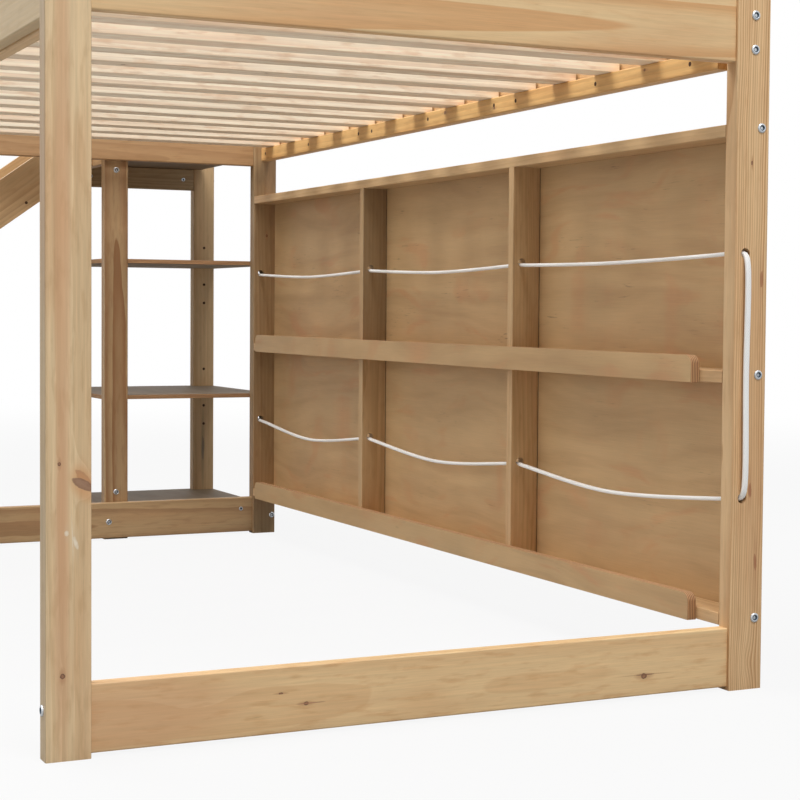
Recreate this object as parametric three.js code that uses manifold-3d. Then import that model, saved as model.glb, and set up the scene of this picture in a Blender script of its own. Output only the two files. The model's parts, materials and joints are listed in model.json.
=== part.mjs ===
// A low loft bed with a slide, a bookcase built into one long side and a shelf tower at the far end.
// Millimetres, +Z up. X runs across the bed to the right, Y along it to the far end.
//
// Every length below is worked out on the bed's own grid: x = 0 is the inner face of the left posts,
// y = 0 the front face of the front posts and z = 0 the floor. The last lines move the whole group so
// that the middle of its footprint is the origin.

import * as THREE from "three";
import { mergeVertices } from "three/addons/utils/BufferGeometryUtils.js";
import Module from "manifold-3d";

const wasm = await Module();
wasm.setup();

// Bed frame
const POST_W = 57; // post section across the bed
const POST_T = 28; // and along it
const INNER_W = 943; // between the left and right posts
const BED_L = 1979; // over the posts, from front to rear
const BOARD_T = 20; // every rail and beam
const END_SETBACK = 6; // end boards sit back from the posts' front faces
const FLOOR_GAP = 5; // under the two low rails
const FRONT_LOW_H = 86;
const REAR_LOW_H = 83.5;
const FRONT_BEAM_H = 130;
const REAR_BEAM_H = 105;
const SIDE_RAIL_H = 90;
const EASE = 2.5; // rounding of the long edges of posts and boards

// Slat platform. Its boards stand a little higher or lower than the ledgers' undersides.
const PLATFORM_H = 950; // top of the slats
const LEDGER_W = 20;
const LEDGER_H = 30;
const LEDGER_FRONT_GAP = 22; // from the front posts to the ledgers
const LEDGER_REAR_GAP = 48; // and from the ledgers to the rear posts
const SIDE_RAIL_UP = 3.5;
const FRONT_BEAM_UP = 5;
const REAR_BEAM_DOWN = 8.5;
const SLAT_COUNT = 14;
const SLAT_W = 50;
const SLAT_T = 18;
const SLAT_FRONT_GAP = 42; // from the front posts to the first slat
const SLAT_REAR_GAP = 76; // and from the last slat to the rear posts
const SLAT_END_GAP = 4;

// Guard boards, above what the picture shows
const GUARD_GAP = 109.5; // between a side rail and the guard board over it
const GUARD_H = 90;
const GUARD_BELOW_TOP = 10; // from the posts' tops down to the guard boards
const TOWER_GUARD_H = 173;

// Bookcase between the right posts
const CASE_BOARD_T = 18;
const CASE_BOTTOM_Z = 92;
const CASE_MIDDLE_Z = 446;
const CASE_TOP_GAP = 82; // from the bookcase's top up to the ledger
const CASE_BAYS = 3;
const BACK_T = 3; // the back panels lie flush with the posts' outer faces
const FENCE_T = 15;
const FENCE_H = 40;
const FENCE_DROP = 1; // the fence starts this far under its shelf's underside
const FENCE_END = 57; // clear length at the front end of a fence
const FENCE_REAR_END = 50;
const FENCE_CORNER = 14;

// Cord through the bookcase
const CORD_W = 9; // a flat cord, its width across the bed
const CORD_T = 5;
const CORD_IN = 18; // from the posts' inner faces to the cord holes
const CORD_UPPER_Z = 634;
const CORD_LOWER_Z = 280;
const CORD_HOLE_R = 7.5;
const CORD_SIDES = 10;
const KNOT_R = 11;

// Shelf tower beyond the rear end
const TOWER_W = 421; // over its posts, from its left side to the bed's right side
const TOWER_L = 452; // from the bed's rear to its far side
const TOWER_SHELF_T = 10;
const TOWER_SHELF_Z = [54, 331, 653.5];
const FAR_RAIL_H = 55;
const FAR_RAIL_IN = 2; // from the far posts' near faces to their rails
const DECK_RAIL_H = 29;
const DECK_T = 18;
const DECK_DOWN = 17; // deck below the top of the slats

// Slide from the tower's left side
const SLIDE_GAP = 101; // from the bed's rear to the slide
const SLIDE_W = 300; // over its side boards
const SLIDE_SIDE_T = 18;
const SLIDE_SIDE_H = 93.4; // square to the slope
const SLIDE_SLOPE = 0.718; // rise over run
const SLIDE_SINK = 58; // sliding surface below the side boards' top edges, square to the slope
const SLIDE_BED_T = 9;
const SLIDE_END_H = 22; // height of the sliding surface at its foot
const SLIDE_CORNER = 25;

// Steps on the left side, beside the rear left post
const STEP_CLEAR = 394; // between the stile and the rear left post
const STILE_T = 28;
const STILE_W = 57;
const STEP_W = 57;
const STEP_T = 20;
const STEP_RISE = 230; // to the first step's underside, and from step to step
const STEP_COUNT = 3;

// Worked out from the values above
const LEFT = -POST_W;
const RIGHT = INNER_W + POST_W;
const REAR_POST_Y = BED_L - POST_T;
const REAR_BOARD_Y = REAR_POST_Y + END_SETBACK;
const RAIL_RIGHT_X = INNER_W + LEDGER_W;
const RAIL_LEFT_X = -LEDGER_W - BOARD_T;
const SLAT_Z = PLATFORM_H - SLAT_T;
const LEDGER_Z = SLAT_Z - LEDGER_H;
const SLAT_PITCH = (REAR_POST_Y - SLAT_REAR_GAP - SLAT_W - POST_T - SLAT_FRONT_GAP) / (SLAT_COUNT - 1);
const SIDE_RAIL_Z = LEDGER_Z + SIDE_RAIL_UP;
const FRONT_BEAM_Z = LEDGER_Z + FRONT_BEAM_UP;
const REAR_BEAM_Z = LEDGER_Z - REAR_BEAM_DOWN;
const CASE_TOP_Z = LEDGER_Z - CASE_TOP_GAP - CASE_BOARD_T;
const GUARD_Z = SIDE_RAIL_Z + SIDE_RAIL_H + GUARD_GAP;
const POST_H = GUARD_Z + GUARD_H + GUARD_BELOW_TOP;
const TOWER_GUARD_Z = POST_H - GUARD_BELOW_TOP - TOWER_GUARD_H;
const TOWER_X = RIGHT - TOWER_W;
const TOWER_POST_Y = REAR_BOARD_Y + BOARD_T; // against the bed's end boards
const TOWER_FAR_Y = BED_L + TOWER_L;
const TOWER_FAR_POST_Y = TOWER_FAR_Y - POST_T;
const DECK_TOP = PLATFORM_H - DECK_DOWN;
const DECK_Z = DECK_TOP - DECK_T;
const SLIDE_NEAR_Y = BED_L + SLIDE_GAP;
const SLIDE_END_X = Math.round(TOWER_X - (DECK_TOP - SLIDE_END_H) / SLIDE_SLOPE);
const STILE_Y = REAR_POST_Y - STEP_CLEAR - STILE_W;
const BACK_X = RIGHT - BACK_T;
const CORD_X = INNER_W + CORD_IN;

// Natural pine in a few depths, plywood and white cord.
const wood = (color, roughness = 0.55) => new THREE.MeshStandardMaterial({ color, roughness, metalness: 0 });
const pine = wood(0xcca67c);
const pineDark = wood(0xb98f66);
const slatPine = wood(0xe6cba8, 0.65);
const plywood = wood(0xb58a63, 0.6);
const shelfPly = wood(0xa98e70, 0.6);
const whiteCord = wood(0xf2f0ec, 0.85);

const bed = new THREE.Group();

function add(parent, name, geometry, material, x = 0, y = 0, z = 0) {
  const mesh = new THREE.Mesh(geometry, material);
  mesh.name = name;
  mesh.position.set(x, y, z);
  parent.add(mesh);
  return mesh;
}

// Turns an outline drawn in the two other axes into a plate along "x", "y" or "z".
// The outline's axes are y and z for "x", z and x for "y", x and y for "z".
const AXES = {
  x: [[0, 1, 0], [0, 0, 1], [1, 0, 0]],
  y: [[0, 0, 1], [1, 0, 0], [0, 1, 0]],
  z: [[1, 0, 0], [0, 1, 0], [0, 0, 1]],
};

function extrudeAlong(axis, shape, depth, curveSegments = 3) {
  const geometry = new THREE.ExtrudeGeometry(shape, { depth, bevelEnabled: false, curveSegments });
  const [u, v, w] = AXES[axis].map((a) => new THREE.Vector3(...a));
  return geometry.applyMatrix4(new THREE.Matrix4().makeBasis(u, v, w));
}

// A rectangle from the origin with rounded corners.
function easedRectangle(w, h, r) {
  const shape = new THREE.Shape();
  shape.absarc(r, r, r, Math.PI, 1.5 * Math.PI);
  shape.absarc(w - r, r, r, 1.5 * Math.PI, 2 * Math.PI);
  shape.absarc(w - r, h - r, r, 0, 0.5 * Math.PI);
  shape.absarc(r, h - r, r, 0.5 * Math.PI, Math.PI);
  shape.closePath();
  return shape;
}

// A piece of timber with its corner at the origin; its long edges, along its longest side, are eased.
function timber(dx, dy, dz, ease = EASE) {
  const r = Math.min(ease, dx / 4, dy / 4, dz / 4);
  if (dz >= dx && dz >= dy) return extrudeAlong("z", easedRectangle(dx, dy, r), dz);
  if (dy >= dx) return extrudeAlong("y", easedRectangle(dz, dx, r), dy);
  return extrudeAlong("x", easedRectangle(dy, dz, r), dx);
}

// The same piece by its two ends on each axis.
function board(parent, name, material, [x0, x1], [y0, y1], [z0, z1], ease = EASE) {
  return add(parent, name, timber(x1 - x0, y1 - y0, z1 - z0, ease), material, x0, y0, z0);
}

// Booleans
function toSolid(geometry) {
  const g = geometry.clone();
  g.deleteAttribute("normal");
  g.deleteAttribute("uv");
  const m = mergeVertices(g, 1e-3);
  return new wasm.Manifold(
    new wasm.Mesh({
      numProp: 3,
      vertProperties: new Float32Array(m.attributes.position.array),
      triVerts: new Uint32Array(m.index.array),
    }),
  );
}

function toGeometry(solid) {
  const m = solid.getMesh();
  return new THREE.BufferGeometry()
    .setAttribute("position", new THREE.BufferAttribute(new Float32Array(m.vertProperties), 3))
    .setIndex(new THREE.BufferAttribute(new Uint32Array(m.triVerts), 1))
    .toNonIndexed();
}

// Takes round holes along y out of a piece whose corner stands at z0.
function boreAlongY(geometry, dy, x, heights) {
  let solid = toSolid(geometry);
  for (const z of heights) {
    const drill = new THREE.CylinderGeometry(CORD_HOLE_R, CORD_HOLE_R, dy + 20, 24);
    drill.translate(x, dy / 2, z);
    solid = solid.subtract(toSolid(drill));
  }
  return toGeometry(solid);
}

// Four corner posts of the bed; the right pair is bored for the cord.
function cornerPosts() {
  const plain = () => timber(POST_W, POST_T, POST_H);
  const bored = () => boreAlongY(plain(), POST_T, CORD_IN, [CORD_UPPER_Z, CORD_LOWER_Z]);
  add(bed, "post_front_left", plain(), pine, LEFT, 0, 0);
  add(bed, "post_front_right", bored(), pine, INNER_W, 0, 0);
  add(bed, "post_rear_left", plain(), pine, LEFT, REAR_POST_Y, 0);
  add(bed, "post_rear_right", bored(), pine, INNER_W, REAR_POST_Y, 0);
}

// Boards between the posts at the two ends, and the long rails behind their faces.
function railsAndBeams() {
  const frontY = [END_SETBACK, END_SETBACK + BOARD_T];
  const rearY = [REAR_BOARD_Y, REAR_BOARD_Y + BOARD_T];
  const across = [0, INNER_W];
  const along = [POST_T, REAR_POST_Y];
  const up = (z, h) => [z, z + h];
  board(bed, "front_lower_rail", pine, across, frontY, up(FLOOR_GAP, FRONT_LOW_H));
  board(bed, "rear_lower_rail", pineDark, across, rearY, up(FLOOR_GAP, REAR_LOW_H));
  board(bed, "front_end_beam", pine, across, frontY, up(FRONT_BEAM_Z, FRONT_BEAM_H));
  board(bed, "rear_end_beam", pineDark, across, rearY, up(REAR_BEAM_Z, REAR_BEAM_H));
  const right = [RAIL_RIGHT_X, RAIL_RIGHT_X + BOARD_T];
  const left = [RAIL_LEFT_X, RAIL_LEFT_X + BOARD_T];
  board(bed, "side_rail_right", pine, right, along, up(SIDE_RAIL_Z, SIDE_RAIL_H));
  board(bed, "side_rail_left", pine, left, along, up(SIDE_RAIL_Z, SIDE_RAIL_H));
}

// Ledgers on the rails' inner faces, and the slats that lie on them.
function platform() {
  const along = [POST_T + LEDGER_FRONT_GAP, REAR_POST_Y - LEDGER_REAR_GAP];
  const up = [LEDGER_Z, LEDGER_Z + LEDGER_H];
  board(bed, "ledger_right", pine, [INNER_W, RAIL_RIGHT_X], along, up);
  board(bed, "ledger_left", pine, [-LEDGER_W, 0], along, up);
  const across = [-LEDGER_W + SLAT_END_GAP, RAIL_RIGHT_X - SLAT_END_GAP];
  for (let i = 0; i < SLAT_COUNT; i++) {
    const y = POST_T + SLAT_FRONT_GAP + i * SLAT_PITCH;
    const name = `slat_${String(i + 1).padStart(2, "0")}`;
    board(bed, name, slatPine, across, [y, y + SLAT_W], [SLAT_Z, SLAT_Z + SLAT_T], 1.5);
  }
}

// Guard boards round the platform, open over the deck and at the steps.
function guards() {
  const up = [GUARD_Z, GUARD_Z + GUARD_H];
  const frontY = [END_SETBACK, END_SETBACK + BOARD_T];
  const rearY = [REAR_BOARD_Y, REAR_BOARD_Y + BOARD_T];
  board(bed, "guard_front", pine, [0, INNER_W], frontY, up);
  board(bed, "guard_rear", pine, [0, TOWER_X + POST_W], rearY, up);
  board(bed, "guard_right", pine, [RAIL_RIGHT_X, RAIL_RIGHT_X + BOARD_T], [POST_T, REAR_POST_Y], up);
  board(bed, "guard_left", pine, [RAIL_LEFT_X, RAIL_LEFT_X + BOARD_T], [POST_T, STILE_Y + STILE_W], up);
}

// Shelf boards, dividers, backs and fences between the two right posts.
function bookcase() {
  const front = POST_T;
  const rear = REAR_POST_Y;
  const deep = [INNER_W, RIGHT];
  const shelf = (name, z) => board(bed, name, pine, deep, [front, rear], [z, z + CASE_BOARD_T], 1.5);
  shelf("bookcase_bottom", CASE_BOTTOM_Z);
  shelf("bookcase_middle", CASE_MIDDLE_Z);
  shelf("bookcase_top", CASE_TOP_Z);

  const rows = [
    ["lower", CASE_BOTTOM_Z + CASE_BOARD_T, CASE_MIDDLE_Z, CORD_LOWER_Z],
    ["upper", CASE_MIDDLE_Z + CASE_BOARD_T, CASE_TOP_Z, CORD_UPPER_Z],
  ];
  const bay = (rear - front - (CASE_BAYS - 1) * CASE_BOARD_T) / CASE_BAYS;
  for (const [row, z0, z1, cordZ] of rows) {
    board(bed, `bookcase_back_${row}`, plywood, [BACK_X, BACK_X + BACK_T], [front, rear], [z0, z1], 0.5);
    for (let i = 1; i < CASE_BAYS; i++) {
      const y = front + i * bay + (i - 1) * CASE_BOARD_T;
      const plain = timber(BACK_X - INNER_W, CASE_BOARD_T, z1 - z0, 1.5);
      const bored = boreAlongY(plain, CASE_BOARD_T, CORD_IN, [cordZ - z0]);
      add(bed, `divider_${row}_${i}`, bored, pine, INNER_W, y, z0);
    }
  }

  const fence = (name, shelfZ) => {
    const y0 = front + FENCE_END;
    const length = rear - FENCE_REAR_END - y0;
    const shape = new THREE.Shape();
    shape.moveTo(0, 0);
    shape.lineTo(length, 0);
    shape.absarc(length - FENCE_CORNER, FENCE_H - FENCE_CORNER, FENCE_CORNER, 0, 0.5 * Math.PI);
    shape.absarc(FENCE_CORNER, FENCE_H - FENCE_CORNER, FENCE_CORNER, 0.5 * Math.PI, Math.PI);
    shape.closePath();
    add(bed, name, extrudeAlong("x", shape, FENCE_T, 6), pine, INNER_W - FENCE_T, y0, shelfZ - FENCE_DROP);
  };
  fence("fence_lower", CASE_BOTTOM_Z);
  fence("fence_upper", CASE_MIDDLE_Z);
}

// The cord: knotted behind the rear right post, forward through the upper bays, down the front of the
// front right post and back through the lower bays. Each pair is a point's y and z.
const CORD_ROUTE = [
  [1992, 630.5], [1965, 630.3],
  [1930, 629], [1637, 621], [1340, 629],
  [1313, 630],
  [1286, 629], [990, 621.5], [693, 629],
  [666, 630],
  [639, 629], [370, 627], [70, 633.2],
  [28, 635.3], [13, 636],
  [-0.8, 630.4], [-5.8, 616.5],
  [-5.6, 457],
  [-5.8, 297.5], [-0.8, 283.6],
  [13, 277.4], [28, 276.8],
  [70, 272.6], [370, 255], [639, 273.6],
  [666, 275.9],
  [693, 273.6], [990, 253.5], [1286, 273.6],
  [1313, 275.9],
  [1340, 273.6], [1637, 251], [1930, 274.2],
  [1965, 276.4], [1992, 276.6],
];

// Steps follow the points, so the tight turns get as many as the long sags.
class RouteCurve extends THREE.CatmullRomCurve3 {
  getUtoTmapping(u) {
    return u;
  }
}

function cord() {
  const route = new RouteCurve(
    CORD_ROUTE.map(([y, z]) => new THREE.Vector3(CORD_X, y, z)),
    false,
    "centripetal",
  );
  const section = new THREE.Shape();
  for (let i = 0; i < CORD_SIDES; i++) {
    const a = (2 * Math.PI * i) / CORD_SIDES;
    section[i ? "lineTo" : "moveTo"]((CORD_W / 2) * Math.cos(a), (CORD_T / 2) * Math.sin(a));
  }
  section.closePath();
  const steps = 2 * (CORD_ROUTE.length - 1);
  let solid = toSolid(new THREE.ExtrudeGeometry(section, { steps, extrudePath: route, bevelEnabled: false }));
  for (const [y, z] of [CORD_ROUTE[0], CORD_ROUTE.at(-1)]) {
    const knot = new THREE.SphereGeometry(KNOT_R, 12, 8);
    knot.translate(CORD_X, y, z);
    solid = solid.add(toSolid(knot));
  }
  add(bed, "cord", toGeometry(solid), whiteCord);
}

// Posts, rails, shelves and deck of the tower. The bed's own rear right post is its fourth corner.
function tower() {
  const post = () => timber(POST_W, POST_T, POST_H);
  add(bed, "tower_post_near_left", post(), pineDark, TOWER_X, TOWER_POST_Y, 0);
  add(bed, "tower_post_far_left", post(), pineDark, TOWER_X, TOWER_FAR_POST_Y, 0);
  add(bed, "tower_post_far_right", post(), pineDark, INNER_W, TOWER_FAR_POST_Y, 0);

  const inside = [TOWER_X + POST_W, INNER_W];
  const farY = [TOWER_FAR_POST_Y + FAR_RAIL_IN, TOWER_FAR_POST_Y + FAR_RAIL_IN + BOARD_T];
  const nearEnd = TOWER_POST_Y + POST_T;
  board(bed, "tower_far_rail", pineDark, inside, farY, [DECK_Z - FAR_RAIL_H, DECK_Z]);
  board(bed, "tower_deck_rail", pineDark, [TOWER_X, TOWER_X + BOARD_T], [nearEnd, TOWER_FAR_POST_Y],
    [DECK_Z - DECK_RAIL_H, DECK_Z]);
  const up = [TOWER_GUARD_Z, TOWER_GUARD_Z + TOWER_GUARD_H];
  board(bed, "tower_guard_far", pine, inside, farY, up);
  board(bed, "tower_guard_right", pine, [RAIL_RIGHT_X, RAIL_RIGHT_X + BOARD_T], [BED_L, TOWER_FAR_POST_Y], up);

  // The shelves and the deck are cut out round the three tower posts. The shelves reach the bed's
  // right side, and the deck stops at the guard board there.
  const outline = (right) => [
    [TOWER_X + POST_W, BED_L], [right, BED_L],
    [right, TOWER_FAR_POST_Y], [INNER_W, TOWER_FAR_POST_Y],
    [INNER_W, TOWER_FAR_Y], [TOWER_X + POST_W, TOWER_FAR_Y],
    [TOWER_X + POST_W, TOWER_FAR_POST_Y], [TOWER_X, TOWER_FAR_POST_Y],
    [TOWER_X, nearEnd], [TOWER_X + POST_W, nearEnd],
  ];
  const flat = (name, right, z, t) => {
    const shape = new THREE.Shape(outline(right).map(([x, y]) => new THREE.Vector2(x - TOWER_X, y - BED_L)));
    add(bed, name, extrudeAlong("z", shape, t), shelfPly, TOWER_X, BED_L, z);
  };
  TOWER_SHELF_Z.forEach((z, i) => flat(`tower_shelf_${i + 1}`, RIGHT, z, TOWER_SHELF_T));
  flat("tower_deck", RAIL_RIGHT_X, DECK_Z, DECK_T);
}

// Two side boards and the sliding board between them, straight from the deck's edge to the floor.
function slide() {
  const stretch = Math.hypot(1, SLIDE_SLOPE); // from a size square to the slope to an upright one
  const endX = SLIDE_END_X;
  const surface = (x) => DECK_TOP + SLIDE_SLOPE * (x - TOWER_X);
  const top = (x) => surface(x) + SLIDE_SINK * stretch;
  const bottom = (x) => top(x) - SLIDE_SIDE_H * stretch;
  const floorX = TOWER_X - bottom(TOWER_X) / SLIDE_SLOPE;
  const lean = Math.atan(SLIDE_SLOPE);

  // Outlines are drawn as z and x, so that they can be extruded along y.
  const corner = { z: top(endX), x: endX };
  const cut = SLIDE_CORNER * Math.tan((Math.PI / 2 - lean) / 2);
  const side = new THREE.Shape();
  side.moveTo(0, endX);
  side.lineTo(0, floorX);
  side.lineTo(bottom(TOWER_X), TOWER_X);
  side.lineTo(top(TOWER_X), TOWER_X);
  side.lineTo(corner.z + cut * Math.sin(lean), corner.x + cut * Math.cos(lean));
  side.quadraticCurveTo(corner.z, corner.x, corner.z - cut, corner.x);
  side.closePath();
  const farY = SLIDE_NEAR_Y + SLIDE_W - SLIDE_SIDE_T;
  add(bed, "slide_side_near", extrudeAlong("y", side, SLIDE_SIDE_T, 6), pine, 0, SLIDE_NEAR_Y, 0);
  add(bed, "slide_side_far", extrudeAlong("y", side, SLIDE_SIDE_T, 6), pine, 0, farY, 0);

  const under = SLIDE_BED_T * stretch;
  const bedShape = new THREE.Shape([
    new THREE.Vector2(surface(endX) - under, endX),
    new THREE.Vector2(surface(TOWER_X) - under, TOWER_X),
    new THREE.Vector2(surface(TOWER_X), TOWER_X),
    new THREE.Vector2(surface(endX), endX),
  ]);
  const width = SLIDE_W - 2 * SLIDE_SIDE_T;
  add(bed, "slide_bed", extrudeAlong("y", bedShape, width), plywood, 0, SLIDE_NEAR_Y + SLIDE_SIDE_T, 0);
}

// One stile on the side rail's outer face, and steps from it to the rear left post.
function steps() {
  const stileX = [RAIL_LEFT_X - STILE_T, RAIL_LEFT_X];
  board(bed, "step_stile", pine, stileX, [STILE_Y, STILE_Y + STILE_W], [0, POST_H]);
  const across = [stileX[0], stileX[0] + STEP_W];
  for (let i = 1; i <= STEP_COUNT; i++) {
    const z = i * STEP_RISE;
    board(bed, `step_${i}`, pine, across, [STILE_Y + STILE_W, REAR_POST_Y], [z, z + STEP_T]);
  }
}

cornerPosts();
railsAndBeams();
platform();
guards();
bookcase();
cord();
tower();
slide();
steps();

// The footprint runs from the slide's foot to the bed's right side and from the front posts to the tower's.
const part = new THREE.Group();
bed.position.set(-(SLIDE_END_X + RIGHT) / 2, -TOWER_FAR_Y / 2, 0);
part.add(bed);

export default part;
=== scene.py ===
# %% [markdown]
# A low loft bed with a slide. Its boards and posts arrive as finished solids, at their real size and
# place, so this script never models a board again. It gives every surface its wood, adds what is too
# small for the solids, such as bolt heads and peg holes, makes the cord, and sets up camera and light.
# Everything is in metres: +Z is up, X runs across the bed to the right, Y along it to the far end.

# %% Load the bed
import json
import math
import random
from collections import namedtuple
import bmesh
import bpy
from mathutils import Matrix, Vector

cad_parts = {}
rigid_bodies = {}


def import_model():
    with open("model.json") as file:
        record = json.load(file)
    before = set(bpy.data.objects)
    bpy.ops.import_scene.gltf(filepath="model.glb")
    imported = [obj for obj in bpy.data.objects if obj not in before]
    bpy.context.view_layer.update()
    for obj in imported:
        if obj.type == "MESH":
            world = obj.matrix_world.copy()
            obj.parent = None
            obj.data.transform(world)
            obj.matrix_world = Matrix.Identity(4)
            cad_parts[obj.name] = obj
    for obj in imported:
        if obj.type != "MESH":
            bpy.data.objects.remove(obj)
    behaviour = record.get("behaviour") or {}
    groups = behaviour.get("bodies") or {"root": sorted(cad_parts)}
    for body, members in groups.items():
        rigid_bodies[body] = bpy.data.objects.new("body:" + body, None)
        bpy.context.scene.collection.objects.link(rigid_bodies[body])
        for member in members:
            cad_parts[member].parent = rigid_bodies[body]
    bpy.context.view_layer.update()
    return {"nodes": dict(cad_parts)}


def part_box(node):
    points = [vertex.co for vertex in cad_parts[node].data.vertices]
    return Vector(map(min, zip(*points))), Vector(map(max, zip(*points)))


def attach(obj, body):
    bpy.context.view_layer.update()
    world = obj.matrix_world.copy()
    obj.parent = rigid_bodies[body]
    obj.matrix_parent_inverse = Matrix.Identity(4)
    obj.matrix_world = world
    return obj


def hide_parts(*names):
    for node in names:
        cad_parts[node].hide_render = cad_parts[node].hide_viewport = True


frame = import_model()
NODES = frame["nodes"]
BODY = "root"
MM = 0.001
GRID_X = 155  # from the bed's own grid, which starts at its front left corner, to the frame's origin
GRID_Y = 1215.5


def bed(x, y, z):
    """A point given on the bed's own grid in millimetres, as the solids are drawn."""
    return Vector((x - GRID_X, y - GRID_Y, z)) * MM


# %% [markdown]
# The camera. A photograph of a long object with straight edges fixes its camera well: the posts' and
# rails' edges run to three vanishing points. It could be set by eye, but a degree of error shows at
# once in the slats, so position, direction and lens are the values worked out from those edges. The
# small shift keeps the picture's framing without turning the camera.

# %% Camera
EYE = Vector((-0.73486, -3.30445, 0.55044))
YAW = math.radians(25.812)  # from +Y towards +X
PITCH = math.radians(-2.304)
ROLL = math.radians(0.432)


def make_camera():
    """The camera at EYE, turned by yaw, pitch and roll."""
    forward = Vector((math.sin(YAW) * math.cos(PITCH), math.cos(YAW) * math.cos(PITCH), math.sin(PITCH)))
    level = Vector((math.cos(YAW), -math.sin(YAW), 0))
    upright = level.cross(forward)
    right = level * math.cos(ROLL) + upright * math.sin(ROLL)
    up = upright * math.cos(ROLL) - level * math.sin(ROLL)
    data = bpy.data.cameras.new("camera")
    data.lens = 79.57
    data.sensor_width = 36
    data.sensor_fit = "HORIZONTAL"
    data.shift_x = -0.0162
    data.shift_y = -0.0250
    data.clip_end = 100
    camera = bpy.data.objects.new("camera", data)
    camera.matrix_world = Matrix((right, up, -forward)).transposed().to_4x4()
    camera.location = EYE
    bpy.context.collection.objects.link(camera)
    bpy.context.scene.camera = camera
    return camera


camera = make_camera()
print("camera looks", round(math.degrees(YAW), 1), "degrees right of the bed's length")

# %% [markdown]
# Shader maths. A material's nodes can be wired one by one, but thirty Math nodes hide a simple
# formula. The first class wraps one socket and gives it the usual operators, so the formula reads as
# it would on paper and the nodes are made behind it. Values go through Math nodes. Colours and vectors
# go through Mix and Vector Math, because a Math node would turn a colour grey.

# %% Sockets that can be added and multiplied


class Socket:
    """One output of a node, which reads like a number in an expression."""

    def __init__(self, wiring, source):
        self.wiring = wiring
        self.source = source

    def out(self, name):
        """Another output of the same node, by its name or number."""
        return Socket(self.wiring, self.source.node.outputs[name])

    def math(self, operation, *others):
        """Any Math node that takes this value first."""
        return self.wiring.math(operation, self, *others)

    def __add__(self, other):
        return self.wiring.math("ADD", self, other)

    def __sub__(self, other):
        return self.wiring.math("SUBTRACT", self, other)

    def __rsub__(self, other):
        return self.wiring.math("SUBTRACT", other, self)

    def __mul__(self, other):
        return self.wiring.math("MULTIPLY", self, other)

    def __truediv__(self, other):
        return self.wiring.math("DIVIDE", self, other)

    def __rtruediv__(self, other):
        return self.wiring.math("DIVIDE", other, self)

    def __pow__(self, other):
        return self.wiring.math("POWER", self, other)

    def __abs__(self):
        return self.wiring.math("ABSOLUTE", self)

    __radd__ = __add__
    __rmul__ = __mul__

    def rise(self, start, end):
        """0 below start, 1 above end, and smooth between them. With end below start it falls."""
        settings = {"interpolation_type": "SMOOTHSTEP"}
        return self.wiring.node("ShaderNodeMapRange", settings, {0: self, 1: start, 2: end})


class Wiring:
    """A node tree, and the one method that adds a node to it."""

    def __init__(self, tree):
        self.tree = tree

    def node(self, kind, settings=None, inputs=None, output=0):
        made = self.tree.nodes.new(kind)
        for key, value in (settings or {}).items():
            if key == "stops":
                set_stops(made.color_ramp, value)
            else:
                setattr(made, key, value)
        self.fill(made, inputs or {})
        return Socket(self, made.outputs[output]) if made.outputs else made

    def fill(self, made, inputs):
        """Links or sets the inputs of a node."""
        for key, value in inputs.items():
            if isinstance(value, Socket):
                self.tree.links.new(value.source, made.inputs[key])
            else:
                made.inputs[key].default_value = value

    def math(self, operation, *terms):
        return self.node("ShaderNodeMath", {"operation": operation}, dict(enumerate(terms)))

    def blend(self, factor, first, second):
        """A colour between two others."""
        return self.node("ShaderNodeMix", {"data_type": "RGBA"}, {0: factor, 6: first, 7: second}, output=2)

    def scaled(self, colour, level):
        """A colour made darker or lighter."""
        return self.node("ShaderNodeVectorMath", {"operation": "SCALE"}, {0: colour, "Scale": level})

    def cloud(self, x, y, z, detail=2.0):
        """Soft noise over three coordinates, from -0.5 to 0.5."""
        place = self.node("ShaderNodeCombineXYZ", None, {0: x, 1: y, 2: z})
        inputs = {"Vector": place, "Scale": 1.0, "Detail": detail}
        return self.node("ShaderNodeTexNoise", None, inputs) - 0.5


class Finish(Wiring):
    """A material, with its shader at hand."""

    def __init__(self, name):
        self.material = bpy.data.materials.new(name)
        self.material.use_nodes = True
        super().__init__(self.material.node_tree)
        self.shader = self.tree.nodes["Principled BSDF"]


def set_stops(ramp, stops):
    """Gives a colour ramp its stops, as pairs of a position and a grey."""
    while len(ramp.elements) < len(stops):
        ramp.elements.new(1.0)
    for element, (position, grey) in zip(ramp.elements, stops):
        element.position = position
        element.color = (grey, grey, grey, 1)


def paint(red, green, blue):
    """A colour picked in the usual 0 to 255 numbers, as the linear one that a shader wants."""
    parts = [c / 255 for c in (red, green, blue)]
    linear = [c / 12.92 if c <= 0.04045 else ((c + 0.055) / 1.055) ** 2.4 for c in parts]
    return (*linear, 1.0)


print("shader tools ready, for example a light pine is", [round(c, 3) for c in paint(214, 178, 134)])

# %% [markdown]
# The cord. A flat white braid keeps the toys in: it runs through the bookcase dividers, sags a little
# in each bay, dives through the front post, comes down its front face and goes back through the lower
# row. It could be a curve with a bevel, but a flat cord must keep its wide side across the bed, so a
# small section is swept along the route by hand. The points are where the braid rests in its holes.

# %% Cord route
CORD_GRID_X = 961
CORD_WIDE = 9 * MM
CORD_THICK = 6.2 * MM
CORD_STEP = 4 * MM

CORD_ROUTE = [
    (1992, 630.5), (1965, 630.3), (1930, 629), (1637, 621), (1340, 629), (1313, 630), (1286, 629),
    (990, 621.5), (693, 629), (666, 630), (639, 629), (370, 627), (70, 633.2), (28, 635.3),
    (13, 636), (-0.8, 630.4), (-5.8, 616.5), (-5.6, 457), (-5.8, 297.5), (-0.8, 283.6), (13, 277.4),
    (28, 276.8), (70, 272.6), (370, 255), (639, 273.6), (666, 275.9), (693, 273.6), (990, 253.5),
    (1286, 273.6), (1313, 275.9), (1340, 273.6), (1637, 251), (1930, 274.2), (1965, 276.4),
    (1992, 276.6),
]


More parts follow.
